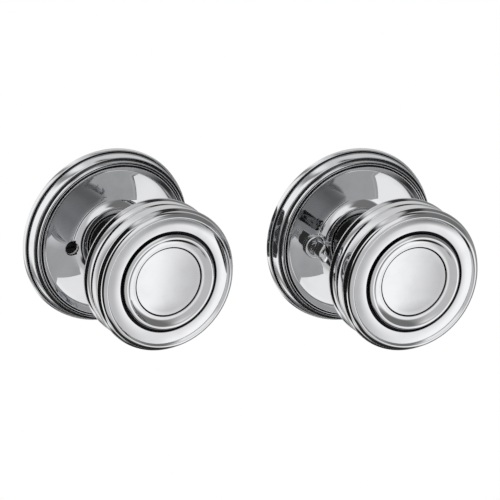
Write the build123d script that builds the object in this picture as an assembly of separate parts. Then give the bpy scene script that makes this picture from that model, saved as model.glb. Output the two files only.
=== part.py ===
from build123d import *
import math
import os

os.makedirs("parts", exist_ok=True)

# Millimetres. Each half is drawn about the Y axis with the door face at Y = 0,
# and h is the distance in front of that face, so h = -Y.

# Where the outside half stands from the inside half
outside_x = -80.4
outside_y = 39.7

# Thumb turn of the inside half, release hole of the outside half, and the two fixings
turn_x = -16.2
turn_z = -0.4
release_x = -15.6
release_z = -1.3
fixing_z = 19.0

# Rose: its steps are given by their distance in from the rim and their height
rose_r = 33.34
rose_wall = 2.54
rose_floor_h = 5.0
rose_sheet = 1.3
rim_side_h = 1.0
rim_top_in = 0.74
rim_top_h = 1.6
groove_in = 1.14
groove_h = 1.95
band_in = 1.34
band_back_h = 2.2
band_front_h = 5.6
ledge_back_in = 2.14
ledge_back_h = 6.1
ledge_in = 2.34
ledge_h = 6.6
lip_back_in = 3.14
lip_back_h = 7.1
lip_out_in = 3.74
lip_out_h = 7.35
lip_in = 5.04
lip_h = 7.75
dish_wall_in = 6.44
dish_wall_rise = 0.5
dish_in = 7.14
hollow_in = 5.74
hollow_top_h = 6.4
hollow_out_in = 3.94
hollow_out_h = 6.3
recess_top_h = 4.4
neck_bore_r = 11.1
neck_wall = 0.5
neck_rise = 4.2
cove_w = 4.6
release_hole_r = 2.5

# Mounting plate with its rear boss
plate_back_h = 0.4
plate_t = 2.0
boss_r = 9.0
boss_back_h = -4.2
stop_in_r = 11.7
stop_out_r = 12.4
stop_back_h = -4.0
stop_w = 3.6

# Knob: head, shank and the journal that runs in the bush
shank_r = 10.85
shoulder_gap = 0.1
journal_r = 7.0
journal_back_h = -9.0
journal_flats = 12.4
head_back_h = 37.8
head_depth = 16.2
head_r = 27.7
neck_drop = 6.3
flare_w = 5.65
flare_drop = 0.8
rear_edge = 1.4
drum_in = 0.7
drum_groove = 0.7
drum_groove_lift = 3.5
waist_in = 1.5
waist_drop = 7.8
bead_in = 0.25
bead_rise = 0.8
bead_front_drop = 1.8
shoulder_in = 1.1
shoulder_drop = 1.0
crest_out_in = 2.4
crest_in = 3.1
crest_lift = 0.3
dip_in = 3.7
dip_drop = 0.45
ring_out_r = 18.9
ring_w = 1.8
ring_side_w = 0.5
ring_lift = 1.1
inner_side_w = 0.4
inner_lift = 0.3
disc_r = 13.3
disc_edge_w = 0.1
disc_edge_lift = 0.2
disc_edge_drop = 0.3
disc_dish = 1.0

# Square spindle and the grub screw that holds it
spindle_w = 8.0
spindle_gap = 0.05
spindle_front_h = 18.0
spindle_back_h = -30.0
spindle_chamfer = 0.6
grub_r = 2.5
grub_h = 14.0
grub_outer_r = 10.0
grub_socket = 2.5
grub_socket_deep = 2.6

# Bush, thrust washer and retaining ring on the journal
running_gap = 0.05
bush_wall = 0.95
bush_flange_r = 10.2
bush_flange_t = 0.9
washer_t = 0.6
groove_r = 6.4
clip_r = 8.6
clip_front_h = -7.2
clip_t = 0.8
clip_mouth = 7.0
groove_gap = 0.05

# Return hub, spring and cover
hub_front_h = -4.3
hub_back_h = -6.2
hub_r = 11.5
hub_gap = 0.02
finger_in_r = 10.7
finger_front_h = -0.6
finger_w = 3.6
wire_r = 0.6
coil_r = 9.9
coil_front_h = 0.0
coil_pitch = 1.4
leg_angle = 14.0
leg_out_r = 12.4
cover_in_r = 12.6
cover_out_r = 13.2
cover_back_h = -7.0
cover_t = 0.6
cover_hole_r = 7.6
tab_w = 4.0
tab_front_h = 2.9

# Machine screws of the inside plate and threaded posts of the outside plate
screw_r = 1.97
screw_head_r = 3.9
screw_hole_r = 2.2
head_seat_gap = 0.02
screw_back_h = -18.0
cross_w = 1.0
cross_l = 4.4
cross_deep = 1.2
post_r = 3.2
post_foot_r = 2.6
post_back_h = -17.0
post_thread_r = 1.65

# Thumb turn
collar_r = 4.3
collar_h = 6.5
collar_spigot_r = 3.2
collar_edge = 0.5
collar_step = 0.3
collar_lip_w = 0.6
stem_r = 2.0
stem_back_h = 2.6
thumb_back_h = 8.2
thumb_front_h = 14.2
thumb_mid_r = 2.4
thumb_tip_r = 0.7
thumb_tip_z = 2.9
thumb_foot_r = 1.2
thumb_foot_z = -2.3
thumb_edge = 0.35
turn_bar_w = 2.4
turn_bar_front_h = 7.0
turn_bar_back_h = -22.0
turn_bar_hole_r = 2.4
turn_groove_r = 1.75
turn_clip_r = 3.4
turn_clip_back_h = 2.85
turn_clip_t = 0.5
turn_clip_mouth = 2.4

# Emergency release
release_r = 1.9
release_shoulder_r = 2.2
release_shoulder_h = 0.3
release_front_h = 3.6
release_slot_w = 0.9
release_slot_deep = 0.5
release_round_back_h = -1.5
release_blade_t = 1.2
release_blade_w = 3.4
release_back_h = -22.0
guide_r = 3.0
guide_front_h = 2.8
release_groove_r = 1.4
release_clip_r = 3.1
release_clip_back_h = 2.95
release_clip_t = 0.5
release_clip_mouth = 2.0

rose_recess_r = rose_r - rose_wall
rose_under_h = rose_floor_h - rose_sheet
neck_r = neck_bore_r + neck_wall
neck_h = rose_floor_h + neck_rise
plate_front_h = plate_back_h + plate_t
bush_bore_r = journal_r + running_gap
bush_r = bush_bore_r + bush_wall
bush_front_h = plate_front_h + bush_flange_t
shank_back_h = bush_front_h + washer_t + shoulder_gap


def turned(outline):
    """Revolve a closed outline of (r, h) points about the Y axis.

    A third number on a point bows the line that leads to it, outwards when it is positive,
    by that share of the line's length.
    """
    edges = []
    for start, end in zip(outline[-1:] + outline[:-1], outline):
        a, b = Vector(start[0], -start[1]), Vector(end[0], -end[1])
        if len(end) == 3:
            run, rise = end[0] - start[0], end[1] - start[1]
            mid = Vector((a.X + b.X) / 2 + end[2] * rise, (a.Y + b.Y) / 2 + end[2] * run)
            edges.append(ThreePointArc(a, mid, b))
        else:
            edges.append(Line(a, b))
    return revolve(make_face(edges), Axis.Y)


def ring(inner_r, outer_r, back_h, front_h):
    return turned([(inner_r, back_h), (outer_r, back_h), (outer_r, front_h), (inner_r, front_h)])


def rod(r, back_h, front_h):
    return Pos(0, -(back_h + front_h) / 2, 0) * Rot(90, 0, 0) * Cylinder(r, front_h - back_h)


def block(x_size, z_size, back_h, front_h):
    return Pos(0, -(back_h + front_h) / 2, 0) * Box(x_size, front_h - back_h, z_size)


def at_turn(shape):
    return Pos(turn_x, 0, turn_z) * shape


def at_release(shape):
    return Pos(release_x, 0, release_z) * shape


def at_fixings(shape):
    return [Pos(0, 0, z) * shape for z in (fixing_z, -fixing_z)]


def open_clip(inner_r, outer_r, back_h, thickness, mouth):
    """Flat ring with a mouth on its upper side."""
    front_h = back_h + thickness
    gap = Pos(0, 0, outer_r) * block(mouth, 2 * outer_r, back_h, front_h)
    return ring(inner_r, outer_r, back_h, front_h) - gap


def rose():
    """Dished rose: three grooved steps, a flat floor and a trumpet neck round the shank."""
    return turned([
        (rose_recess_r, 0),
        (rose_r, 0),
        (rose_r, rim_side_h),
        (rose_r - rim_top_in, rim_top_h, 0.157),
        (rose_r - groove_in, groove_h),
        (rose_r - band_in, band_back_h),
        (rose_r - band_in, band_front_h, 0.073),
        (rose_r - ledge_back_in, ledge_back_h),
        (rose_r - ledge_in, ledge_h),
        (rose_r - lip_back_in, lip_back_h, 0.127),
        (rose_r - lip_out_in, lip_out_h),
        (rose_r - lip_in, lip_h, 0.294),
        (rose_r - dish_wall_in, rose_floor_h + dish_wall_rise),
        (rose_r - dish_in, rose_floor_h, -0.139),
        (neck_r + cove_w, rose_floor_h),
        (neck_r, neck_h, -0.209),
        (neck_bore_r, neck_h),
        (neck_bore_r, rose_under_h),
        (rose_r - hollow_in, rose_under_h),
        (rose_r - lip_in, hollow_top_h),
        (rose_r - hollow_out_in, hollow_out_h),
        (rose_recess_r, recess_top_h),
    ])


def mounting_plate(fixing_hole, privacy_hole):
    """Round plate with the bush boss, the spring stop and slots for the cover's tabs."""
    plate = ring(bush_r, rose_recess_r, plate_back_h, plate_front_h)
    plate += ring(bush_r, boss_r, boss_back_h, plate_back_h)
    stop = ring(stop_in_r, stop_out_r, stop_back_h, plate_back_h)
    plate += stop & (Pos(0, 0, stop_out_r) * block(stop_w, 2 * stop_out_r, stop_back_h, plate_back_h))
    plate -= at_fixings(fixing_hole)
    return plate - privacy_hole - cover_tabs(plate_front_h)


def cover_tabs(front_h):
    """Three tabs that stand forward from the wall of the spring cover."""
    tab = Pos((cover_in_r + cover_out_r) / 2, 0, 0) * block(cover_t, tab_w, plate_back_h, front_h)
    return [Rot(0, turn, 0) * tab for turn in (0, 120, 240)]


def shank_bush():
    return ring(bush_bore_r, bush_r, boss_back_h, plate_front_h) + ring(
        bush_bore_r, bush_flange_r, plate_front_h, bush_front_h
    )


def knob():
    """Knob turned in one piece, with a grooved drum and a ringed, dished face."""
    face_h = head_back_h + head_depth
    flare_h = head_back_h - flare_drop
    drum_r = head_r - drum_in
    groove_mid_h = head_back_h + drum_groove_lift
    waist_h = face_h - waist_drop
    ring_in_r = ring_out_r - ring_w
    disc_edge_h = face_h - disc_edge_drop
    dish_share = math.tan(math.atan(disc_dish / disc_r) / 2) / 2
    body = turned([
        (0, journal_back_h),
        (journal_r, journal_back_h),
        (journal_r, shank_back_h),
        (shank_r, shank_back_h),
        (shank_r, head_back_h - neck_drop),
        (shank_r + flare_w, flare_h, -0.203),
        (drum_r - rear_edge, head_back_h),
        (drum_r, head_back_h + rear_edge, 0.207),
        (drum_r, groove_mid_h - drum_groove),
        (drum_r - drum_groove, groove_mid_h),
        (drum_r, groove_mid_h + drum_groove),
        (drum_r, waist_h - drum_groove),
        (head_r - waist_in, waist_h),
        (head_r - bead_in, waist_h + bead_rise),
        (head_r - bead_in, face_h - bead_front_drop, 0.048),
        (head_r - shoulder_in, face_h - shoulder_drop),
        (head_r - crest_out_in, face_h + crest_lift, 0.163),
        (head_r - crest_in, face_h + crest_lift, 0.086),
        (head_r - dip_in, face_h - dip_drop, -0.083),
        (ring_out_r + ring_side_w, face_h, 0.184),
        (ring_out_r, face_h + ring_lift),
        (ring_in_r, face_h + ring_lift, 0.056),
        (ring_in_r - inner_side_w, face_h + inner_lift),
        (disc_r + disc_edge_w, face_h + disc_edge_lift, 0.167),
        (disc_r, disc_edge_h),
        (0, disc_edge_h - disc_dish, -dish_share),
    ])
    width = spindle_w + spindle_gap
    body -= block(width, width, journal_back_h, spindle_front_h + spindle_gap)
    body -= Pos(0, -grub_h, -shank_r) * Cylinder(grub_r, 2 * shank_r)
    body -= ring(groove_r, journal_r, clip_front_h - clip_t - groove_gap, clip_front_h + groove_gap)
    flat = block(2 * journal_r, journal_r, journal_back_h, hub_front_h)
    lift = (journal_flats + journal_r) / 2
    return body - [Pos(0, 0, lift) * flat, Pos(0, 0, -lift) * flat]


def knob_grub():
    inner_r = spindle_w / 2
    length = grub_outer_r - inner_r
    body = Cylinder(grub_r, length)
    socket = extrude(RegularPolygon(grub_socket / 2, 6, major_radius=False), grub_socket_deep)
    body -= Pos(0, 0, -length / 2) * socket
    return Pos(0, -grub_h, -(inner_r + grub_outer_r) / 2) * body


def spindle():
    bar = block(spindle_w, spindle_w, spindle_back_h, spindle_front_h)
    ends = bar.faces().filter_by(Axis.Y).edges()
    return chamfer(ends, spindle_chamfer)


def return_hub():
    """Disc driven by the journal's flats, with one finger between the spring's legs."""
    disc = rod(hub_r, hub_back_h, hub_front_h)
    bore = rod(journal_r + hub_gap, hub_back_h, hub_front_h)
    bore &= block(2 * hub_r, journal_flats + 2 * hub_gap, hub_back_h, hub_front_h)
    finger = ring(finger_in_r, hub_r, hub_front_h, finger_front_h)
    finger &= Pos(0, 0, hub_r) * block(finger_w, 2 * hub_r, hub_front_h, finger_front_h)
    return disc - bore + finger


def return_spring():
    """Torsion spring round the boss, its two legs pointing outwards beside the stop."""
    turns = 2 - 2 * leg_angle / 360
    coil = Helix(coil_pitch, coil_pitch * turns, coil_r)
    start = Plane(origin=coil @ 0, z_dir=coil % 0)
    body = sweep(start * Circle(wire_r), path=coil)
    leg_l = leg_out_r - coil_r
    leg = Pos(coil_r + leg_l / 2, 0, 0) * Rot(0, 90, 0) * Cylinder(wire_r, leg_l)
    leg += Pos(coil_r, 0, 0) * Sphere(wire_r)
    body += leg
    body += Pos(0, 0, coil_pitch * turns) * Rot(0, 0, -2 * leg_angle) * leg
    body = Rot(0, 0, 90 + leg_angle) * body
    back_h = coil_front_h - wire_r - coil_pitch * turns
    return Rot(90, 0, 0) * Pos(0, 0, back_h) * body


def spring_cover():
    """Drawn cup over the spring, staked to the plate by three tabs."""
    wall = ring(cover_in_r, cover_out_r, cover_back_h, plate_back_h)
    end = ring(cover_hole_r, cover_out_r, cover_back_h, cover_back_h + cover_t)
    return wall + end + cover_tabs(tab_front_h)


def countersunk(hole_r, head_r, back_h, front_h):
    return turned([
        (0, back_h),
        (hole_r, back_h),
        (hole_r, front_h - (head_r - hole_r)),
        (head_r, front_h),
        (0, front_h),
    ])


def mounting_screw():
    body = countersunk(screw_r, screw_head_r - head_seat_gap, screw_back_h, plate_front_h)
    for x_size, z_size in ((cross_w, cross_l), (cross_l, cross_w)):
        body -= block(x_size, z_size, plate_front_h - cross_deep, plate_front_h)
    return body


def mounting_post():
    body = rod(post_r, post_back_h, plate_back_h) + rod(post_foot_r, plate_back_h, plate_front_h)
    return body - rod(post_thread_r, post_back_h, plate_front_h)


def turn_collar():
    """Round collar pressed into the rose, with a rounded rim and a small step at its bore."""
    bore_r = stem_r + running_gap
    return turned([
        (bore_r, rose_under_h),
        (collar_spigot_r, rose_under_h),
        (collar_spigot_r, rose_floor_h),
        (collar_r, rose_floor_h),
        (collar_r, collar_h - collar_edge),
        (collar_r - collar_edge, collar_h, 0.198),
        (bore_r + collar_lip_w + collar_step, collar_h),
        (bore_r + collar_lip_w, collar_h - collar_edge),
        (bore_r, collar_h - collar_edge),
    ])


def turn_piece():
    """Stem and oval thumb piece, the oval drawn to a blunt point at its top."""
    edges = Circle(thumb_mid_r).edges()
    edges += (Pos(0, thumb_tip_z) * Circle(thumb_tip_r)).edges()
    edges += (Pos(0, thumb_foot_z) * Circle(thumb_foot_r)).edges()
    thumb = extrude(make_hull(edges), thumb_front_h - thumb_back_h)
    front = thumb.faces().sort_by(Axis.Z)[-1]
    thumb = Rot(90, 0, 0) * Pos(0, 0, thumb_back_h) * fillet(front.edges(), thumb_edge)
    body = thumb + rod(stem_r, stem_back_h, thumb_back_h)
    body -= block(turn_bar_w, turn_bar_w, stem_back_h, turn_bar_front_h)
    clip_back_h = turn_clip_back_h - groove_gap
    return body - ring(turn_groove_r, stem_r, clip_back_h, clip_back_h + turn_clip_t + 2 * groove_gap)


def release_spindle():
    """Round pin with a slotted end and a shoulder, flattened to a blade behind the plate."""
    body = rod(release_r, release_round_back_h, release_front_h)
    body += rod(release_shoulder_r, release_round_back_h, release_shoulder_h)
    body += block(release_blade_t, release_blade_w, release_back_h, release_round_back_h)
    body -= block(2 * release_r, release_slot_w, release_front_h - release_slot_deep, release_front_h)
    clip_back_h = release_clip_back_h - groove_gap
    return body - ring(release_groove_r, release_r, clip_back_h, clip_back_h + release_clip_t + 2 * groove_gap)


def save(name, shape):
    if name.startswith("outside") or name.startswith("release"):
        shape = Pos(outside_x, outside_y, 0) * shape
    export_step(shape, "parts/" + name + ".step")


screw_hole = countersunk(screw_hole_r, screw_head_r, plate_back_h, plate_front_h)
post_hole = rod(post_foot_r, plate_back_h, plate_front_h)

bar_hole = at_turn(rod(turn_bar_hole_r, plate_back_h, plate_front_h))
guide_hole = at_release(rod(guide_r, plate_back_h, plate_front_h))
collar_seat = rod(collar_spigot_r, rose_under_h, rose_floor_h) + rod(collar_r, rose_floor_h, neck_h)

save("inside_rose", rose() - at_turn(collar_seat))
save("outside_rose", rose() - at_release(rod(release_hole_r, rose_under_h, neck_h)))
save("inside_mounting_plate", mounting_plate(screw_hole, bar_hole))
save("outside_mounting_plate", mounting_plate(post_hole, guide_hole))

shared = {
    "shank_bush": shank_bush(),
    "thrust_washer": ring(bush_bore_r, bush_flange_r, bush_front_h, bush_front_h + washer_t),
    "knob": knob(),
    "knob_grub_screw": knob_grub(),
    "spindle": spindle(),
    "retaining_ring": open_clip(groove_r, clip_r, clip_front_h - clip_t, clip_t, clip_mouth),
    "return_hub": return_hub(),
    "return_spring": return_spring(),
    "spring_cover": spring_cover(),
}
for piece, shape in shared.items():
    for side in ("inside_", "outside_"):
        save(side + piece, shape)

save("inside_mounting_screws", Compound(at_fixings(mounting_screw())))
save("outside_mounting_posts", Compound(at_fixings(mounting_post())))

save("turn_collar", at_turn(turn_collar()))
save("turn_piece", at_turn(turn_piece()))
save("turn_bar", at_turn(block(turn_bar_w, turn_bar_w, turn_bar_back_h, turn_bar_front_h)))
turn_clip = open_clip(turn_groove_r, turn_clip_r, turn_clip_back_h, turn_clip_t, turn_clip_mouth)
save("turn_clip", at_turn(turn_clip))
save("release_spindle", at_release(release_spindle()))
save("release_guide", at_release(ring(release_r + running_gap, guide_r, plate_back_h, guide_front_h)))
release_clip = open_clip(
    release_groove_r, release_clip_r, release_clip_back_h, release_clip_t, release_clip_mouth
)
save("release_clip", at_release(release_clip))
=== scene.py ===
import bpy
import math
import numpy as np
from mathutils import Matrix, Vector
from mathutils.kdtree import KDTree


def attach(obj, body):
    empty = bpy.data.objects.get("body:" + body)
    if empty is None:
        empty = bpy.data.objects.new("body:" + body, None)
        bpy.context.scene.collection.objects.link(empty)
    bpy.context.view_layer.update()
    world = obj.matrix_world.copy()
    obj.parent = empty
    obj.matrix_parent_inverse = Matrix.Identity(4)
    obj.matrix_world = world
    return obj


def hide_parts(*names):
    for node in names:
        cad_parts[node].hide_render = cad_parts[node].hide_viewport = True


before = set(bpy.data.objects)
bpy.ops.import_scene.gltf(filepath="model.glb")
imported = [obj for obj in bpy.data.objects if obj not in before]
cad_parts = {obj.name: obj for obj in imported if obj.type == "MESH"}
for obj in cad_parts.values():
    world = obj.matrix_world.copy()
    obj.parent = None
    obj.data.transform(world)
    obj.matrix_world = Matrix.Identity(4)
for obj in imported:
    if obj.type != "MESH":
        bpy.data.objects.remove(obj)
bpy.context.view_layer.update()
print("frame loaded")

mm = 0.001
outsideAt = Vector((-80.4, 39.7, 0)) * mm    # outside half, seen from the inside half
turnAt = (-16.2, -0.4)                       # thumb turn, x and z in the inside rose
releaseAt = (-15.6, -1.3)                    # release hole, x and z in the outside rose
fixingUp = 19.0                              # screws and posts, above and below the middle


def node(tree, kind, **settings):
    made = tree.nodes.new(kind)
    for key, value in settings.items():
        setattr(made, key, value)
    return made


def put(target, value):
    # a socket as value is linked, a number or vector is set
    if isinstance(value, bpy.types.NodeSocket):
        target.id_data.links.new(value, target)
    else:
        target.default_value = value


def maths(tree, operation, *values):
    made = node(tree, "ShaderNodeMath", operation=operation)
    for index, value in enumerate(values):
        put(made.inputs[index], value)
    return made.outputs[0]


def spread(tree, value, low, high, fromLow=0.0, fromHigh=1.0, soft=False):
    style = "SMOOTHSTEP" if soft else "LINEAR"
    made = node(tree, "ShaderNodeMapRange", interpolation_type=style)
    for index, number in enumerate((value, fromLow, fromHigh, low, high)):
        put(made.inputs[index], number)
    return made.outputs[0]


def blend(tree, amount, first, second):
    # two colours
    made = node(tree, "ShaderNodeMix", data_type="RGBA")
    for index, value in ((0, amount), (6, first), (7, second)):
        put(made.inputs[index], (*value, 1) if isinstance(value, tuple) else value)
    return made.outputs[2]


def fade(tree, amount, first, second):
    # two numbers
    made = node(tree, "ShaderNodeMix", data_type="FLOAT")
    for index, value in ((0, amount), (2, first), (3, second)):
        put(made.inputs[index], value)
    return made.outputs[0]


def noise(tree, vector, scale, detail=4.0, rough=0.55):
    made = node(tree, "ShaderNodeTexNoise")
    for name, value in zip(("Vector", "Scale", "Detail", "Roughness"), (vector, scale, detail, rough)):
        put(made.inputs[name], value)
    return made.outputs["Fac"]


def attribute(tree, name):
    return node(tree, "ShaderNodeAttribute", attribute_name=name).outputs["Fac"]


def newFinish(name):
    material = bpy.data.materials.new(name)
    material.use_nodes = True
    tree = material.node_tree
    coords = node(tree, "ShaderNodeTexCoord").outputs["Object"]
    return material, tree, tree.nodes["Principled BSDF"], coords


def relief(tree, shader, height, distance, strength):
    bump = node(tree, "ShaderNodeBump")
    for name, value in (("Strength", strength), ("Distance", distance), ("Height", height)):
        put(bump.inputs[name], value)
    put(shader.inputs["Normal"], bump.outputs[0])


polish = {
    "bright": (0.90, 0.905, 0.92),
    "handled": (0.84, 0.845, 0.86),   # where fingers have dulled it a little
    # near-black base colour for the painted shade in grooves and on the shank
    "groove": (0.012, 0.012, 0.014),
    "sharp": 0.012,
    "dull": 0.045,
    "smears": (90.0, 0.42, 0.68),     # size, and the noise values where they start and end
    "specks": (1900.0, 0.66, 0.78),
    "lines": 7000.0,                  # buffing lines for each metre along the outline
    "lineDepth": 1.5e-7,
    "lineShare": 0.6,
}


def chromePolish(s):
    material, tree, shader, coords = newFinish("chrome polish")
    shader.inputs["Metallic"].default_value = 1.0
    size, start, end = s["smears"]
    smear = spread(tree, noise(tree, coords, size), 0, 1, start, end, True)
    size, start, end = s["specks"]
    specks = spread(tree, noise(tree, coords, size, 2.0), 0, 1, start, end, True)
    worn = maths(tree, "MAXIMUM", smear, specks)
    put(shader.inputs["Roughness"], spread(tree, worn, s["sharp"], s["dull"]))
    metal = blend(tree, smear, s["bright"], s["handled"])
    # painted shade: the base colour turns near-black where the attribute marks grooves and the shank
    # as shaded
    paintedShadeAmount = attribute(tree, "paintedShade")
    put(shader.inputs["Base Color"], blend(tree, paintedShadeAmount, metal, s["groove"]))
    lines = node(tree, "ShaderNodeTexNoise", noise_dimensions="1D")
    put(lines.inputs["W"], maths(tree, "MULTIPLY", attribute(tree, "along"), s["lines"]))
    lines.inputs["Scale"].default_value = 1.0
    relief(tree, shader, lines.outputs["Fac"], s["lineDepth"], s["lineShare"])
    return material


# tones, range of roughness, size and stretch of the grain, size of the patches, relief
innerFinishes = {
    "zinc plate": {
        "light": (0.66, 0.67, 0.71), "dark": (0.55, 0.57, 0.60), "fleck": (0.74, 0.73, 0.68),
        "rough": (0.16, 0.38), "grain": 1400.0, "stretch": (1, 1, 1), "patches": 160.0,
        "depth": 4e-6},
    "drawn steel": {
        "light": (0.52, 0.52, 0.53), "dark": (0.38, 0.37, 0.36), "fleck": (0.30, 0.28, 0.26),
        "rough": (0.18, 0.42), "grain": 2600.0, "stretch": (1, 0.04, 1), "patches": 120.0,
        "depth": 6e-6},
    "spring steel": {
        "light": (0.20, 0.20, 0.22), "dark": (0.13, 0.12, 0.13), "fleck": (0.24, 0.20, 0.16),
        "rough": (0.25, 0.45), "grain": 3200.0, "stretch": (1, 1, 1), "patches": 300.0,
        "depth": 2e-6},
    "blacked steel": {
        "light": (0.035, 0.035, 0.038), "dark": (0.02, 0.02, 0.02), "fleck": (0.05, 0.04, 0.035),
        "rough": (0.35, 0.6), "grain": 3000.0, "stretch": (1, 1, 1), "patches": 300.0,
        "depth": 2e-6},
    "guide brass": {
        "light": (0.80, 0.62, 0.32), "dark": (0.66, 0.48, 0.23), "fleck": (0.50, 0.36, 0.18),
        "rough": (0.14, 0.34), "grain": 2200.0, "stretch": (1, 8, 1), "patches": 260.0,
        "depth": 3e-6},
    "bush nylon": {
        "light": (0.84, 0.83, 0.78), "dark": (0.78, 0.77, 0.71), "fleck": (0.88, 0.87, 0.83),
        "rough": (0.42, 0.60), "grain": 1800.0, "stretch": (1, 1, 1), "patches": 200.0,
        "depth": 6e-6, "metal": 0.0, "subsurface": (0.25, 0.001)},
}
# what all of them share
surface = {
    "grainDetail": (6.0, 0.65), "patchDetail": 5.0, "patchRange": (0.38, 0.66),
    "fleckSpacing": 0.6, "fleckShow": 0.25, "fleckReach": 0.5, "fleckRaise": 0.5, "share": 0.7,
}


def innerFinish(name):
    s = innerFinishes[name]
    material, tree, shader, coords = newFinish(name)
    shader.inputs["Metallic"].default_value = s.get("metal", 1.0)
    if "subsurface" in s:
        shader.inputs["Subsurface Weight"].default_value = s["subsurface"][0]
        shader.inputs["Subsurface Scale"].default_value = s["subsurface"][1]
    stretched = node(tree, "ShaderNodeMapping")
    put(stretched.inputs["Vector"], coords)
    put(stretched.inputs["Scale"], s["stretch"])
    grain = noise(tree, stretched.outputs[0], s["grain"], *surface["grainDetail"])
    patches = noise(tree, coords, s["patches"], surface["patchDetail"])
    patches = spread(tree, patches, 0, 1, *surface["patchRange"], True)
    cells = node(tree, "ShaderNodeTexVoronoi", feature="F1")
    put(cells.inputs["Vector"], stretched.outputs[0])
    put(cells.inputs["Scale"], s["grain"] * surface["fleckSpacing"])
    tone = blend(tree, patches, s["light"], s["dark"])
    flecks = spread(tree, cells.outputs["Distance"], surface["fleckShow"], 0.0,
                    0.0, surface["fleckReach"], True)
    put(shader.inputs["Base Color"], blend(tree, flecks, tone, s["fleck"]))
    wear = maths(tree, "MULTIPLY", maths(tree, "ADD", grain, patches), 0.5)
    put(shader.inputs["Roughness"], spread(tree, wear, *s["rough"]))
    height = maths(tree, "ADD", grain, maths(tree, "MULTIPLY", flecks, surface["fleckRaise"]))
    relief(tree, shader, height, s["depth"], surface["share"])
    return material


chrome = chromePolish(polish)
finishes = {name: innerFinish(name) for name in innerFinishes}
zinc = finishes["zinc plate"]
print("finishes made")


# an outline is a list of points in millimetres: radius, height from the door and, where it
# has one, the bulge of the stretch that ends there
sampleStep = 0.02      # between two samples of a finished outline
chordStep = 0.03       # between two points of a stretch before it is sampled


def bulged(a, b, bow, t):
    # points at the shares t on the arc from a to b that stands out by bow
    length = np.linalg.norm(b - a)
    out = np.array([b[1] - a[1], a[0] - b[0]]) / length
    radius = (length * length / 4 + bow * bow) / (2 * abs(bow))
    half = math.asin(min(1, length / 2 / radius))
    angle = -half + 2 * half * t
    along = (b - a) / length
    rise = math.copysign(1, bow) * out * (np.cos(angle) * radius - radius + abs(bow))
    return (a + b) / 2 + np.sin(angle) * radius * along + rise


def finePath(outline, soft):
    # dense and even samples of an outline, with softened corners
    points = [np.array(outline[0][:2], float)]
    for start, end in zip(outline, outline[1:]):
        a, b = np.array(start[:2], float), np.array(end[:2], float)
        count = max(2, int(np.linalg.norm(b - a) / chordStep))
        t = np.linspace(0, 1, count + 1)[1:, None]
        points += list(bulged(a, b, end[2], t) if len(end) == 3 else a + (b - a) * t)
    path = np.array(points)
    steps = np.linalg.norm(np.diff(path, axis=0), axis=1)
    travelled = np.concatenate([[0], np.cumsum(steps)])
    even = np.arange(0, travelled[-1], sampleStep)
    path = np.stack([np.interp(even, travelled, path[:, k]) for k in (0, 1)], 1)
    width = int(3 * soft / sampleStep)
    if width:
        kernel = np.exp(-0.5 * (np.arange(-width, width + 1) * sampleStep / soft) ** 2)
        kernel /= kernel.sum()
        ends = np.pad(path, ((width, width), (0, 0)), mode="reflect", reflect_type="odd")
        path = np.stack([np.convolve(ends[:, k], kernel, "valid") for k in (0, 1)], 1)
    return path


def outward(path):
    # direction along the outline turned to the open side
    run = np.gradient(path, axis=0)
    out = np.stack([run[:, 1], -run[:, 0]], 1)
    return out / np.linalg.norm(out, axis=1)[:, None]


def keptPoints(path, turn, longest):
    # the samples that a mesh needs, more of them where the outline bends
    direction = np.unwrap(np.arctan2(*np.gradient(path, axis=0).T[::-1]))
    kept, last = [0], 0
    for i in range(1, len(path) - 1):
        bend = abs(direction[i] - direction[last])
        if bend > math.radians(turn) or np.linalg.norm(path[i] - path[last]) > longest:
            kept.append(i)
            last = i
    return path[kept + [len(path) - 1]]


def newGroup(name, inputs, output):
    # the identifiers are what a modifier sets the named inputs by
    tree = bpy.data.node_groups.new(name, "GeometryNodeTree")
    ids = {}
    for title, kind in inputs.items():
        socket = tree.interface.new_socket(title, in_out="INPUT", socket_type="NodeSocket" + kind)
        ids[title] = socket.identifier
    tree.interface.new_socket(output, in_out="OUTPUT", socket_type="NodeSocketGeometry")
    return tree, ids, node(tree, "NodeGroupInput").outputs


def endGroup(tree, geometry, finish):
    real = node(tree, "GeometryNodeRealizeInstances")
    put(real.inputs[0], geometry)
    paint = node(tree, "GeometryNodeSetMaterial")
    put(paint.inputs["Geometry"], real.outputs[0])
    put(paint.inputs["Material"], finish)
    put(node(tree, "NodeGroupOutput").inputs[0], paint.outputs[0])


def smoothed(tree, geometry):
    smooth = node(tree, "GeometryNodeSetShadeSmooth")
    put(smooth.inputs["Geometry"], geometry)
    return smooth.outputs[0]


def linked(mesh, name):
    made = bpy.data.objects.new(name, mesh)
    bpy.context.scene.collection.objects.link(made)
    return made


def bakedMesh(thing):
    # the mesh with its modifiers applied; the object goes
    seen = bpy.context.evaluated_depsgraph_get()
    mesh = bpy.data.meshes.new_from_object(thing.evaluated_get(seen))
    bpy.data.objects.remove(thing)
    return mesh


def runGroup(group, ids, mesh, values):
    maker = linked(mesh, mesh.name + " maker")
    making = maker.modifiers.new(group.name, "NODES")
    making.node_group = group
    for title, value in values.items():
        making[ids[title]] = value
    return bakedMesh(maker)


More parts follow.
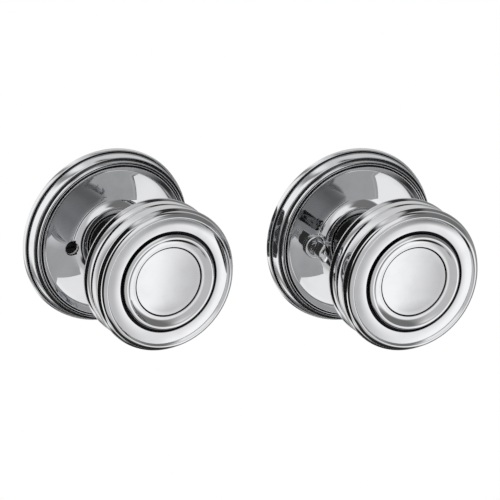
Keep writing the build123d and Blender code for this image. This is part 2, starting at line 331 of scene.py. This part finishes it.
def spinGroup():
    # a grid with a row for each point of the outline, wrapped round the y axis
    tree, ids, given = newGroup("spin an outline", {
        "Outline": "Geometry", "Steps round": "Int", "Finish": "Material"}, "Turned piece")
    size = node(tree, "GeometryNodeAttributeDomainSize")
    put(size.inputs[0], given["Outline"])
    columns = maths(tree, "ADD", given["Steps round"], 1.0)
    grid = node(tree, "GeometryNodeMeshGrid")
    put(grid.inputs["Vertices X"], size.outputs["Point Count"])
    put(grid.inputs["Vertices Y"], columns)
    index = node(tree, "GeometryNodeInputIndex").outputs[0]
    row = maths(tree, "DIVIDE", maths(tree, "ADD", index, 0.5), columns)
    row = maths(tree, "FLOOR", row)
    column = maths(tree, "SUBTRACT", index, maths(tree, "MULTIPLY", row, columns))
    angle = maths(tree, "DIVIDE", column, given["Steps round"])
    angle = maths(tree, "MULTIPLY", angle, 2 * math.pi)
    sample = node(tree, "GeometryNodeSampleIndex", data_type="FLOAT_VECTOR")
    put(sample.inputs["Geometry"], given["Outline"])
    put(sample.inputs["Value"], node(tree, "GeometryNodeInputPosition").outputs[0])
    put(sample.inputs["Index"], row)
    parts = node(tree, "ShaderNodeSeparateXYZ")
    put(parts.inputs[0], sample.outputs["Value"])
    radius, height = parts.outputs[:2]
    place = node(tree, "ShaderNodeCombineXYZ")
    put(place.inputs[0], maths(tree, "MULTIPLY", radius, maths(tree, "COSINE", angle)))
    put(place.inputs[1], height)
    put(place.inputs[2], maths(tree, "MULTIPLY", radius, maths(tree, "SINE", angle)))
    move = node(tree, "GeometryNodeSetPosition")
    put(move.inputs["Geometry"], grid.outputs["Mesh"])
    put(move.inputs["Position"], place.outputs[0])
    merge = node(tree, "GeometryNodeMergeByDistance")
    merge.inputs["Distance"].default_value = 1e-7
    put(merge.inputs["Geometry"], move.outputs[0])
    endGroup(tree, smoothed(tree, merge.outputs[0]), given["Finish"])
    return tree, ids


def wireGroup():
    tree, ids, given = newGroup("wire along a path", {
        "Path": "Geometry", "Wire radius": "Float", "Steps round": "Int", "Finish": "Material"},
        "Wire")
    curve = node(tree, "GeometryNodeMeshToCurve")
    put(curve.inputs["Mesh"], given["Path"])
    section = node(tree, "GeometryNodeCurvePrimitiveCircle")
    put(section.inputs["Resolution"], given["Steps round"])
    put(section.inputs["Radius"], given["Wire radius"])
    swept = node(tree, "GeometryNodeCurveToMesh")
    put(swept.inputs["Curve"], curve.outputs[0])
    put(swept.inputs["Profile Curve"], section.outputs["Curve"])
    swept.inputs["Fill Caps"].default_value = True
    endGroup(tree, smoothed(tree, swept.outputs[0]), given["Finish"])
    return tree, ids


def threadGroup():
    # pushes the wall of a turned piece in and out along a helix between two heights
    tree, ids, given = newGroup("screw thread", {
        "Turned piece": "Geometry", "Pitch": "Float", "Depth": "Float", "From": "Float",
        "To": "Float", "Bore": "Float", "Finish": "Material"}, "Threaded piece")
    parts = node(tree, "ShaderNodeSeparateXYZ")
    put(parts.inputs[0], node(tree, "GeometryNodeInputPosition").outputs[0])
    x, y, z = parts.outputs
    h = maths(tree, "MULTIPLY", y, -1.0)
    turn = maths(tree, "DIVIDE", maths(tree, "ARCTAN2", z, x), 2 * math.pi)
    phase = maths(tree, "SUBTRACT", maths(tree, "DIVIDE", h, given["Pitch"]), turn)
    wave = maths(tree, "MULTIPLY", maths(tree, "PINGPONG", phase, 0.5), 2.0)
    depth = maths(tree, "MULTIPLY", wave, given["Depth"])
    lead = maths(tree, "MULTIPLY", given["Pitch"], 1.5)
    rising = spread(tree, maths(tree, "SUBTRACT", h, given["From"]), 0.0, 1.0, 0.0, lead)
    falling = spread(tree, maths(tree, "SUBTRACT", given["To"], h), 0.0, 1.0, 0.0, lead)
    depth = maths(tree, "MULTIPLY", depth, maths(tree, "MULTIPLY", rising, falling))
    squares = maths(tree, "ADD", maths(tree, "MULTIPLY", x, x), maths(tree, "MULTIPLY", z, z))
    r = maths(tree, "SQRT", squares)
    off = maths(tree, "ABSOLUTE", maths(tree, "SUBTRACT", r, given["Bore"]))
    wall = maths(tree, "LESS_THAN", off, 1e-5)
    share = maths(tree, "MULTIPLY", depth, wall)
    share = maths(tree, "DIVIDE", share, maths(tree, "MAXIMUM", r, 1e-6))
    push = node(tree, "ShaderNodeCombineXYZ")
    put(push.inputs[0], maths(tree, "MULTIPLY", x, share))
    put(push.inputs[2], maths(tree, "MULTIPLY", z, share))
    move = node(tree, "GeometryNodeSetPosition")
    put(move.inputs["Geometry"], given["Turned piece"])
    put(move.inputs["Offset"], push.outputs[0])
    endGroup(tree, move.outputs[0], given["Finish"])
    return tree, ids


spin, spinIds = spinGroup()
wire, wireIds = wireGroup()
thread, threadIds = threadGroup()


def lineMesh(name, spots):
    mesh = bpy.data.meshes.new(name)
    mesh.from_pydata(spots, [(i, i + 1) for i in range(len(spots) - 1)], [])
    return mesh


def turnedMesh(name, outline, finish, soft=0.05, steps=160, turn=6.0, longest=1.5):
    # the dense outline is handed back too, for the normals
    path = finePath(outline, soft)
    drawn = lineMesh(name, [(r * mm, -h * mm, 0) for r, h in keptPoints(path, turn, longest)])
    mesh = runGroup(spin, spinIds, drawn, {"Steps round": steps, "Finish": finish})
    # one face tells whether all of them look outwards
    probe = mesh.polygons[len(mesh.polygons) // 3]
    x, y, z = probe.center / mm
    r = math.hypot(x, z)
    nearest = np.argmin(np.hypot(path[:, 0] - r, path[:, 1] + y))
    run = path[min(nearest + 1, len(path) - 1)] - path[max(nearest - 1, 0)]
    if probe.normal.dot(Vector((run[1] * x / r, run[0], run[1] * z / r))) < 0:
        mesh.flip_normals()
    return mesh, path


def carved(mesh, cutters, operation="DIFFERENCE"):
    # the cutters are used up
    held = linked(mesh, "blank")
    for number, cutter in enumerate(cutters):
        carving = held.modifiers.new("carve %d" % number, "BOOLEAN")
        carving.operation = operation
        carving.solver = "EXACT"
        carving.object = cutter
    result = bakedMesh(held)
    for cutter in cutters:
        bpy.data.objects.remove(cutter)
    return result


def prismCutter(ring, backH, frontH, frontRing=None):
    count = len(ring)
    corners = [(x * mm, -backH * mm, z * mm) for x, z in ring]
    corners += [(x * mm, -frontH * mm, z * mm) for x, z in frontRing or ring]
    faces = [(i, (i + 1) % count, count + (i + 1) % count, count + i) for i in range(count)]
    faces += [tuple(reversed(range(count))), tuple(range(count, 2 * count))]
    mesh = bpy.data.meshes.new("cutter")
    mesh.from_pydata(corners, [], faces)
    made = linked(mesh, "cutter")
    made.display_type = "WIRE"
    return made


def circle(radius, x, z, steps=64):
    return [(x + radius * math.cos(a), z + radius * math.sin(a))
            for a in np.linspace(0, 2 * math.pi, steps, endpoint=False)]


def holeCutter(place, radius, backH, frontH):
    return prismCutter(circle(radius, *place), backH, frontH)


def chamferCutter(place, radius, chamfer, face):
    # takes a small slope off the edge of a hole in a face
    wide = circle(radius + 2 * chamfer, *place)
    return prismCutter(circle(radius, *place), face - chamfer, face + chamfer, wide)


def squareCutter(half, backH, frontH):
    ring = [(-half, -half), (half, -half), (half, half), (-half, half)]
    return prismCutter(ring, backH, frontH)


def paintedGrooveShadeMask(path, fromShare, toShare, reach=1.5):
    # 0 where the outline lies open, 1 where its own sides close over it, as the mask of painted shade
    # in grooves; both shares are of the open half circle
    out = outward(path)
    closed = np.zeros(len(path))
    for way in (1, -1):
        highest = np.zeros(len(path))
        for step in range(3, int(reach / sampleStep), 2):    # every other sample within reach
            other = np.arange(len(path)) + way * step
            inside = (other >= 0) & (other < len(path))
            gap = path[other.clip(0, len(path) - 1)] - path
            rise = (gap * out).sum(1) / np.maximum(np.linalg.norm(gap, axis=1), 1e-6)
            highest = np.maximum(highest, np.where(inside, rise, 0))
        closed += np.arcsin(highest.clip(0, 1)) / math.pi
    soft = ((closed - fromShare) / (toShare - fromShare)).clip(0, 1)
    return soft * soft * (3 - 2 * soft)


def finishSpun(mesh, path, paintedGrooveRange=None, paintedCoreShade=None):
    # spun faces get the exact normals of their outline, cut faces keep their own
    out = outward(path)
    # painted shade: grooves darken by how far their own sides close over them
    shade = paintedGrooveShadeMask(path, *paintedGrooveRange) if paintedGrooveRange else np.zeros(len(path))
    # painted shade and dark reflection: inside the radius and behind the height, the shank is darkened
    # as if it stood in shadow
    if paintedCoreShade:
        radius, height, amount = paintedCoreShade
        within = (path[:, 1] < height) * (radius - path[:, 0]).clip(0, 1)
        shade = np.maximum(shade, amount * within)
    tree = KDTree(len(path))
    for i, (r, h) in enumerate(path):
        tree.insert((r, h, 0), i)
    tree.balance()
    mesh.polygons.foreach_set("use_smooth", [True] * len(mesh.polygons))
    exact, spots = [], []
    for vertex in mesh.vertices:
        x, y, z = vertex.co / mm
        r = math.hypot(x, z)
        spot = tree.find((r, -y, 0))[1]
        c, s = (x / r, z / r) if r > 1e-4 else (0, 0)
        exact.append(Vector((out[spot][0] * c, -out[spot][1], out[spot][0] * s)))
        spots.append(spot)
    normals = np.zeros((len(mesh.loops), 3), np.float32)
    for face in mesh.polygons:
        for corner in face.loop_indices:
            spun = exact[mesh.loops[corner].vertex_index]
            normals[corner] = spun if spun.dot(face.normal) > 0.9 else face.normal
    mesh.normals_split_custom_set(normals)
    along = np.arange(len(path)) * sampleStep * mm
    for name, values in (("paintedShade", shade), ("along", along)):
        held = mesh.attributes.new(name, "FLOAT", "POINT")
        held.data.foreach_set("value", values[spots])


def creased(mesh, degrees):
    mesh.polygons.foreach_set("use_smooth", [True] * len(mesh.polygons))
    mesh.set_sharp_from_angle(angle=math.radians(degrees))


def placed(mesh, name, body, *nodes, shift=None, slot="polished_chrome"):
    if shift:
        mesh = mesh.copy()
        mesh.transform(Matrix.Translation(shift))
    made = linked(mesh, name)
    mesh.name = name
    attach(made, body)
    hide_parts(*nodes)
    return made


roseSize = {
    "rim": 33.34, "rimHigh": 0.15, "recess": 30.8, "recessHigh": 4.4,
    # the rings of the front, from the rim inwards
    "rings": [
        (33.1, 1.5), (32.85, 1.8, 0.06), (32.4, 1.3), (32.15, 1.5), (32.2, 2.3),
        (32.1, 2.65, 0.05), (31.65, 5.6, 0.05), (31.4, 5.95, 0.06), (31.15, 5.2), (30.65, 5.5),
        (30.4, 7.1, 0.03), (30.1, 7.5, 0.05), (29.9, 6.8), (29.6, 6.75), (29.5, 7.25),
        (29.3, 7.3), (29.2, 6.75), (28.8, 6.75), (28.6, 7.55), (28.3, 7.75, 0.25), (26.9, 5.5),
    ],
    "dish": 26.2, "floor": 5.0, "dishBow": -0.12,
    "coveFoot": 16.2, "neck": 11.6, "neckFront": 9.2, "coveBow": -1.3, "bore": 11.1,
    "under": 3.7,
    "hollow": [(27.6, 3.7), (28.3, 6.4), (29.4, 6.3)],    # behind the raised rings
    "paintedGrooveRange": (0.5, 0.66),            # where the painted shade in a groove starts, and where it is black
    "collarHole": (3.2, 3.0, 5.5),     # radius, back and front of each cut
    "collarSeat": (4.3, 5.0, 9.6),
    "releaseHole": (2.5, 3.0, 9.6),
    "releaseEdge": 0.35,
}


def roseOutline(s):
    return [
        (s["recess"], 0),
        (s["rim"], 0),
        (s["rim"], s["rimHigh"]),
        *s["rings"],
        (s["dish"], s["floor"], s["dishBow"]),
        (s["coveFoot"], s["floor"]),
        (s["neck"], s["neckFront"], s["coveBow"]),
        (s["bore"], s["neckFront"]),
        (s["bore"], s["under"]),
        *s["hollow"],
        (s["recess"], s["recessHigh"]),
        (s["recess"], 0),
    ]


roseMesh, rosePath = turnedMesh("rose", roseOutline(roseSize), chrome)
insideRose = carved(roseMesh.copy(), [
    holeCutter(turnAt, *roseSize["collarHole"]), holeCutter(turnAt, *roseSize["collarSeat"])])
outsideRose = carved(roseMesh.copy(), [
    holeCutter(releaseAt, *roseSize["releaseHole"]),
    chamferCutter(releaseAt, roseSize["releaseHole"][0], roseSize["releaseEdge"], roseSize["floor"])])
for mesh in (insideRose, outsideRose):
    finishSpun(mesh, rosePath, roseSize["paintedGrooveRange"])
placed(insideRose, "rose-inside", "fixed_trim", "inside_rose")
placed(outsideRose, "rose-outside", "fixed_trim", "outside_rose", shift=outsideAt)
print("roses made")


knobSize = {
    "back": -9.0, "journal": 7.0, "shoulder": 4.0, "shank": 10.85, "flare": 31.5,
    # the head, from the flare behind it round the drum to the edge of the disc
    "head": [
        (16.5, 37.0, -1.6), (25.6, 37.8), (27.15, 38.7, 0.4), (27.15, 39.2, 0.04),
        (26.2, 40.8, 0.04), (26.2, 41.0), (26.9, 41.2), (26.9, 44.1, 0.03), (26.3, 45.1, 0.04),
        (26.3, 45.3), (26.95, 45.5), (27.6, 50.4, 0.06), (27.55, 51.1, 0.04),
        (26.75, 52.35, 0.05), (26.7, 52.6), (25.3, 54.2, 0.28), (24.75, 54.25, 0.06),
        (24.15, 53.5), (19.6, 53.9, 0.2), (19.35, 53.1), (18.55, 53.1), (18.4, 54.45),
        (16.5, 54.75, 0.4), (13.5, 54.05, -0.28), (13.3, 53.3), (13.1, 53.3), (12.95, 53.68),
    ],
    "middle": (52.7, -0.225),          # height of the disc's middle, and its hollow
    "paintedGrooveRange": (0.34, 0.56),
    "paintedShankShade": (12.5, 40.0, 0.75),  # painted shade and dark reflection on the shank, which stands between rose and head: radius, height, amount
    "socket": (4.025, -10.0, 18.05),   # half the square, its back and front
    "grubHole": (2.5, 0.5, 12.0),      # radius, and where it starts and ends from the middle
    "grubHigh": 14.0,
    "flats": (6.2, 8.0, -10.0, -4.3),  # from and to in z, back and front
}


def knobOutline(s):
    return [
        (0, s["back"]),
        (s["journal"], s["back"]),
        (s["journal"], s["shoulder"]),
        (s["shank"], s["shoulder"]),
        (s["shank"], s["flare"]),
        *s["head"],
        (0, *s["middle"]),
    ]


def knobCutters(s):
    grub = holeCutter((0, 0), *s["grubHole"])
    grub.data.transform(Matrix.Rotation(math.radians(-90), 4, "X"))
    grub.data.transform(Matrix.Translation(Vector((0, -s["grubHigh"], 0)) * mm))
    near, far, back, front = s["flats"]
    flats = [prismCutter([(-far, z * near), (far, z * near), (far, z * far), (-far, z * far)][::z],
                         back, front) for z in (1, -1)]
    return [squareCutter(*s["socket"]), grub, *flats]


knobMesh, knobPath = turnedMesh("knob", knobOutline(knobSize), chrome)
knobMesh = carved(knobMesh, knobCutters(knobSize))
finishSpun(knobMesh, knobPath, knobSize["paintedGrooveRange"], knobSize["paintedShankShade"])
placed(knobMesh, "knob-outside", "outside_knob_body", "outside_knob", shift=outsideAt)
placed(knobMesh, "knob-inside", "inside_knob_body", "inside_knob")
print("knobs made")


collarSize = {
    "rim": 4.3, "front": 6.5, "edge": 0.5, "edgeBow": 0.14, "spigot": 3.2, "bore": 2.05,
    "back": 3.7, "seat": 5.0, "mouth": 0.9, "mouthFoot": 0.6, "mouthDeep": 0.5,
}


def collarOutline(s):
    return [
        (s["bore"], s["back"]),
        (s["spigot"], s["back"]),
        (s["spigot"], s["seat"]),
        (s["rim"], s["seat"]),
        (s["rim"], s["front"] - s["edge"]),
        (s["rim"] - s["edge"], s["front"], s["edgeBow"]),
        (s["bore"] + s["mouth"], s["front"]),
        (s["bore"] + s["mouthFoot"], s["front"] - s["mouthDeep"]),
        (s["bore"], s["front"] - s["mouthDeep"]),
        (s["bore"], s["back"]),
    ]


turnPlace = Vector((turnAt[0], 0, turnAt[1])) * mm
collarMesh, collarPath = turnedMesh("collar", collarOutline(collarSize), chrome, soft=0.04, steps=96)
finishSpun(collarMesh, collarPath)
placed(collarMesh, "turn-collar", "fixed_trim", "turn_collar", shift=turnPlace)

thumbSize = {
    "circles": [(2.4, 0), (0.7, 2.9), (1.2, -2.3)],    # radius and height of middle, tip and foot
    "back": 8.2, "backEdge": [(0.25, 0), (0.07, 0.07), (0, 0.25)],
    "front": 14.2, "edge": 0.45, "edgeTurn": 1.2, "dome": 0.55,
    # the stem, with the groove for its clip
    "stem": [
        (0, 2.6), (1.85, 2.6), (2.0, 2.75), (2.0, 2.8), (1.75, 2.81), (1.75, 3.39), (2.0, 3.4),
        (2.0, 7.6), (2.0, 8.4), (0, 8.4),
    ],
    "socket": (1.2, 2.0, 7.0),         # half the square for the bar, its back and front
    "crease": 38,
}


def thumbRing(circles):
    # outline of the oval in x and z: the tangent hull of three circles
    spots = [(radius * math.cos(a), up + radius * math.sin(a))
             for radius, up in circles for a in np.linspace(0, 2 * math.pi, 96)[:-1]]
    angles = np.radians(np.arange(0, 360, 3.0))
    reach = np.array([max(x * math.cos(a) + z * math.sin(a) for x, z in spots) for a in angles])
    ring = []
    for i, a in enumerate(angles):
        b = angles[i - 1]
        far, near = reach[i - 1], reach[i]
        ring.append(((far * math.sin(a) - near * math.sin(b)) / math.sin(a - b),
                     (near * math.cos(b) - far * math.cos(a)) / math.sin(a - b)))
    return np.array(ring)


def thumbMesh(s):
    ring = thumbRing(s["circles"])
    between = np.roll(ring, -1, 0) - np.roll(ring, 1, 0)
    out = np.stack([between[:, 1], -between[:, 0]], 1)
    out /= np.linalg.norm(out, axis=1)[:, None]
    # each row is the ring drawn in by so much at a height
    edge, shoulder = s["edge"], s["front"] - s["dome"]
    rows = [(inset, s["back"] + up) for inset, up in s["backEdge"]]
    rows += [(0, s["front"] - edge * 2)]
    rows += [(edge * (1 - math.cos(a)), shoulder - edge * (1 - math.sin(a)))
             for a in np.linspace(0, s["edgeTurn"], 8)]
    rings = [(ring - out * inset, h) for inset, h in rows]
    top = rings[-1][0]
    rings += [(top * (1 - share), s["front"] - s["dome"] * (1 - share) ** 2)
              for share in np.linspace(0, 1, 12)[1:-1]]
    count, last = len(ring), (len(rings) - 1) * len(ring)
    faces = [(k + i, k + (i + 1) % count, k + count + (i + 1) % count, k + count + i)
             for k in range(0, last, count) for i in range(count)]
    faces += [tuple(reversed(range(count))), tuple(range(last, last + count))]
    mesh = bpy.data.meshes.new("thumb")
    mesh.from_pydata([(x * mm, -h * mm, z * mm) for spots, h in rings for x, z in spots], [], faces)
    mesh.update()
    mesh.materials.append(chrome)
    return mesh


stemMesh, _ = turnedMesh("stem", thumbSize["stem"], chrome, soft=0.02, steps=96)
turnMesh = carved(thumbMesh(thumbSize), [linked(stemMesh, "stem")], "UNION")
turnMesh = carved(turnMesh, [squareCutter(*thumbSize["socket"])])
creased(turnMesh, thumbSize["crease"])
placed(turnMesh, "turn-piece", "turn_body", "turn_piece", shift=turnPlace)
print("thumb turn made")


springSize = {
    "wire": 0.6, "coil": 9.9, "front": 0.0, "pitch": 1.4, "legTurn": 14.0, "legOut": 12.4,
    "bend": 1.2, "coilSteps": 200, "legSteps": 6, "bendSteps": 9, "steps": 20,
}


def springPath(s):
    # two turns less the gap between the legs; each leg leaves the coil in a small bend
    top, half = math.pi / 2, math.radians(s["legTurn"])
    whole = 4 * math.pi - 2 * half
    firstH = s["front"] - s["wire"]
    bend = s["bend"] / s["coil"]
    coil = []
    for k, a in enumerate(np.linspace(0, whole, s["coilSteps"])):
        if bend < k * whole / (s["coilSteps"] - 1) < whole - bend:
            turn = top + half + a
            coil.append((s["coil"] * math.cos(turn), firstH - s["pitch"] * a / (2 * math.pi),
                         s["coil"] * math.sin(turn)))
    lastH = firstH - s["pitch"] * whole / (2 * math.pi)
    legs = []
    for turn, h, way in ((top + half, firstH, 1), (top - half, lastH, -1)):
        leg = [(r * math.cos(turn), h, r * math.sin(turn))
               for r in np.linspace(s["legOut"], s["coil"] + s["bend"], s["legSteps"])]
        for a in np.linspace(0, 1, s["bendSteps"])[1:]:
            r = s["coil"] + s["bend"] * (1 - math.sin(a * math.pi / 2))
            side = turn + way * bend * (1 - math.cos(a * math.pi / 2))
            leg.append((r * math.cos(side), h, r * math.sin(side)))
        legs.append(leg)
    return legs[0] + coil + legs[1][::-1]


drawn = lineMesh("spring", [(x * mm, -h * mm, z * mm) for x, h, z in springPath(springSize)])
springMesh = runGroup(wire, wireIds, drawn, {
    "Wire radius": springSize["wire"] * mm, "Steps round": springSize["steps"],
    "Finish": finishes["spring steel"]})
placed(springMesh, "spring-outside", "fixed_trim", "outside_return_spring", shift=outsideAt,
       slot="spring_steel")
placed(springMesh, "spring-inside", "fixed_trim", "inside_return_spring", slot="spring_steel")
print("springs made")


def threaded(mesh, s):
    values = {title: value * mm for title, value in s["thread"].items()}
    return runGroup(thread, threadIds, mesh, {**values, "Finish": zinc})


def pair(mesh, up):
    # both fixings of one plate in one mesh
    count, faces = len(mesh.vertices), [tuple(p.vertices) for p in mesh.polygons]
    spots = [v.co + Vector((0, 0, way * up * mm)) for way in (1, -1) for v in mesh.vertices]
    both = bpy.data.meshes.new("pair")
    both.from_pydata(spots, [], faces + [tuple(i + count for i in face) for face in faces])
    both.materials.append(zinc)
    creased(both, 30)
    return both


fineTurning = {"soft": 0.0, "steps": 48, "turn": 4.0, "longest": 0.115}

screwSize = {
    "r": 1.97, "back": -18.0, "point": 0.4, "rowsTo": -1.0, "rowStep": 0.1167,
    "head": 3.88, "headEdge": 0.06, "front": 2.4,
    "crossWide": 1.0, "crossLong": 4.4, "crossDeep": 1.2,
    "thread": {"Pitch": 0.7, "Depth": -0.38, "From": -17.6, "To": -1.5, "Bore": 1.97},
}


def screwMesh(s):
    r, back, front, edge = s["r"], s["back"], s["front"], s["headEdge"]
    rows = [(r, h) for h in np.arange(back + s["point"], s["rowsTo"], s["rowStep"])]
    outline = [(0, back), (r - s["point"], back), *rows, (r, front - (s["head"] - r)),
               (s["head"], front - edge), (s["head"] - edge, front), (0, front)]
    mesh, _ = turnedMesh("screw", outline, zinc, **fineTurning)
    wide, long = s["crossWide"] / 2, s["crossLong"] / 2
    cross = [(-long, -wide), (-wide, -wide), (-wide, -long), (wide, -long), (wide, -wide),
             (long, -wide), (long, wide), (wide, wide), (wide, long), (-wide, long),
             (-wide, wide), (-long, wide)]
    return carved(threaded(mesh, s), [prismCutter(cross, front - s["crossDeep"], front + 1)])


postSize = {
    "r": 3.2, "foot": 2.6, "back": -17.0, "edge": 0.3, "plate": 0.4, "front": 2.4,
    "thread": {"Pitch": 0.7, "Depth": 0.30, "From": -16.6, "To": 2.0, "Bore": 1.65},
}


def postMesh(s):
    r, back, edge, bore = s["r"], s["back"], s["edge"], s["thread"]["Bore"]
    outline = [(bore, s["front"]), (bore, back + edge), (bore + edge, back), (r - edge, back),
               (r, back + edge), (r, s["plate"]), (s["foot"], s["plate"]),
               (s["foot"], s["front"]), (bore, s["front"])]
    mesh, _ = turnedMesh("post", outline, zinc, **fineTurning)
    return threaded(mesh, s)


placed(pair(screwMesh(screwSize), fixingUp), "mounting-screws", "fixed_trim",
       "inside_mounting_screws", slot="zinc_plated_steel")
placed(pair(postMesh(postSize), fixingUp), "mounting-posts", "fixed_trim",
       "outside_mounting_posts", shift=outsideAt, slot="zinc_plated_steel")
print("fixings made")


# the works behind the roses keep their solids and get a finish
hiddenWorks = {
    "zinc plate": ("mounting_plate", "spring_cover"),
    "drawn steel": ("spindle", "return_hub", "turn_bar"),
    "spring steel": ("retaining_ring", "turn_clip", "grub_screw"),
    "blacked steel": ("release_spindle", "release_clip"),
    "guide brass": ("guide",),
    "bush nylon": ("bush", "washer"),
}
for name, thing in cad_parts.items():
    for finish, endings in hiddenWorks.items():
        if name.endswith(endings):
            thing.data.materials.clear()
            thing.data.materials.append(finishes[finish])


# the studio that the chrome reflects
studio = {
    "front": 0.52,     # tone of the plain room
    "plain": 0.9,      # light on everything that is not a mirror
    "cards": [
        # azimuth from the front, positive to the right, half width, soft edge,
        # elevation, half height, soft edge, tone
        (-20, 80, 25, 55, 25, 10, 0.85),
        (155, 24, 8, 30, 34, 8, 0.62),
        (155, 24, 8, -36, 30, 6, 0.36),
        (150, 30, 8, -50, 16, 4, 0.02),
        (72, 50, 12, 28, 34, 8, 0.17),
        (120, 40, 8, 62, 12, 6, 0.03),
        (52, 30, 17, -35, 26, 5, 1.0),
        (108, 30, 8, -30, 30, 6, 0.25),
        (-62, 42, 10, -68, 20, 6, 0.02),
        (-94, 27, 5, 0, 70, 8, 0.008),
        (-132, 15, 6, 0, 70, 8, 0.95),
        (-154, 9, 7, 0, 70, 8, 0.28),
        (-172, 10, 8, 0, 60, 8, 0.85),
        (0, 181, 1, -78, 17, 4, 0.02),
    ],
    # what a second mirroring finds, on the left and on the right, and where the one turns
    # into the other
    "twiceAhead": (0.03, 0.34, -0.25, 0.3),
    "twiceBehind": (0.75, 0.38, -0.6, 0.6),
    "twiceEdge": (-0.25, 0.1),         # from ahead to behind
}


def band(tree, value, around, wide, soft):
    # 1 within a half width of the angle, 0 outside
    off = maths(tree, "SUBTRACT", value, math.radians(around))
    off = maths(tree, "ABSOLUTE", maths(tree, "WRAP", off, math.pi, -math.pi))
    return spread(tree, off, 1.0, 0.0, math.radians(wide - soft), math.radians(wide + soft), True)


world = bpy.data.worlds.new("studio")
bpy.context.scene.world = world
world.use_nodes = True
sky = world.node_tree
toward = node(sky, "ShaderNodeSeparateXYZ")
put(toward.inputs[0], node(sky, "ShaderNodeTexCoord").outputs["Generated"])
x, y, z = toward.outputs
azimuth = maths(sky, "ARCTAN2", x, maths(sky, "MULTIPLY", y, -1.0))
elevation = maths(sky, "ARCSINE", z)
tone = studio["front"]
for around, wide, wideSoft, up, tall, tallSoft, level in studio["cards"]:
    inCard = maths(sky, "MULTIPLY", band(sky, azimuth, around, wide, wideSoft),
                   band(sky, elevation, up, tall, tallSoft))
    tone = fade(sky, inCard, tone, level)
ahead = spread(sky, x, *studio["twiceAhead"], True)
behind = spread(sky, x, *studio["twiceBehind"], True)
twice = spread(sky, y, ahead, behind, *studio["twiceEdge"], True)
rays = node(sky, "ShaderNodeLightPath").outputs
tone = fade(sky, maths(sky, "GREATER_THAN", rays["Glossy Depth"], 1.5), tone, twice)
tone = fade(sky, rays["Is Glossy Ray"], studio["plain"], tone)
tone = fade(sky, rays["Is Camera Ray"], tone, 1.0)
put(sky.nodes["Background"].inputs["Color"], tone)
sky.nodes["Background"].inputs["Strength"].default_value = 1.0
print("studio made")


# where the photographer stood
view = {
    "target": (-33.4, 14.0, -5.7), "aside": 0.15, "above": 0.1,    # millimetres
    "azimuth": -26.37, "elevation": 21.44, "distance": 5.0, "lens": 976.3, "sensor": 36,
    "clip": (0.1, 60),
}
side, rise = math.radians(view["azimuth"]), math.radians(view["elevation"])
away = Vector((math.sin(side) * math.cos(rise), -math.cos(side) * math.cos(rise), math.sin(rise)))
rightward = away.cross(Vector((0, 0, 1))).normalized() * -1
target = Vector(view["target"]) + rightward * view["aside"] + away.cross(rightward) * view["above"]
lens = bpy.data.cameras.new("camera")
lens.lens = view["lens"]
lens.sensor_width = view["sensor"]
lens.clip_start, lens.clip_end = view["clip"]
camera = linked(lens, "camera")
camera.location = target * mm + away * view["distance"]
camera.rotation_euler = (-away).to_track_quat("-Z", "Y").to_euler()
bpy.context.scene.camera = camera
bpy.context.scene.view_settings.view_transform = "Standard"

print("scene ready")
